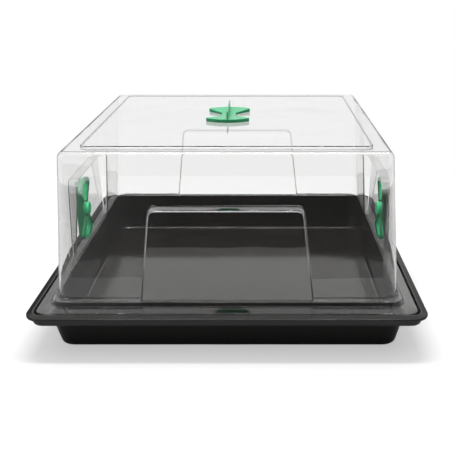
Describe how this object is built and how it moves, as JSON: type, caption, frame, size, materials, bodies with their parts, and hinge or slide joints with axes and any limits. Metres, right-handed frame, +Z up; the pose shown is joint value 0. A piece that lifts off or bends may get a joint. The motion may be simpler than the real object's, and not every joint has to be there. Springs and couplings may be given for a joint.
{
  "type": "humidity dome tray",
  "caption": "Square seed-raising tray with a rim channel, a clear lift-off humidity dome and rotary air vents that turn a quarter turn.",
  "frame": {"origin": "middle of the tray's underside, on the surface that it stands on", "axes": "+Z up out of the tray; -Y towards the front; the side vents lie on the -X and +X sides of the dome"},
  "size_m": [0.55, 0.55, 0.2966],
  "materials": {
    "black_plastic": "gloss",
    "clear_plastic": "clear gloss",
    "green_plastic": "gloss"
  },
  "bodies": {
    "tray": {"tray": "black_plastic"},
    "dome": {"dome": "clear_plastic"},
    "top_vent": {"top_vent_shutter": "green_plastic", "top_vent_retainer": "green_plastic"},
    "left_vent": {"left_vent_shutter": "green_plastic", "left_vent_retainer": "green_plastic"},
    "right_vent": {"right_vent_shutter": "green_plastic", "right_vent_retainer": "green_plastic"}
  },
  "joints": [
    {"name": "dome_lift", "type": "slide", "parent": "tray", "child": "dome", "axis": [0, 0, 1], "range_m": [0, 0.25]},
    {"name": "top_vent_turn", "type": "hinge", "parent": "dome", "child": "top_vent", "pos_m": [-0.005, 0, 0.2791], "axis": [0, 0, 1], "range_deg": [0, 90]},
    {"name": "left_vent_turn", "type": "hinge", "parent": "dome", "child": "left_vent", "pos_m": [-0.2445, 0, 0.1251], "axis": [-1, 0, 0], "range_deg": [0, 90]},
    {"name": "right_vent_turn", "type": "hinge", "parent": "dome", "child": "right_vent", "pos_m": [0.2445, 0, 0.1251], "axis": [1, 0, 0], "range_deg": [0, 90]}
  ]
}
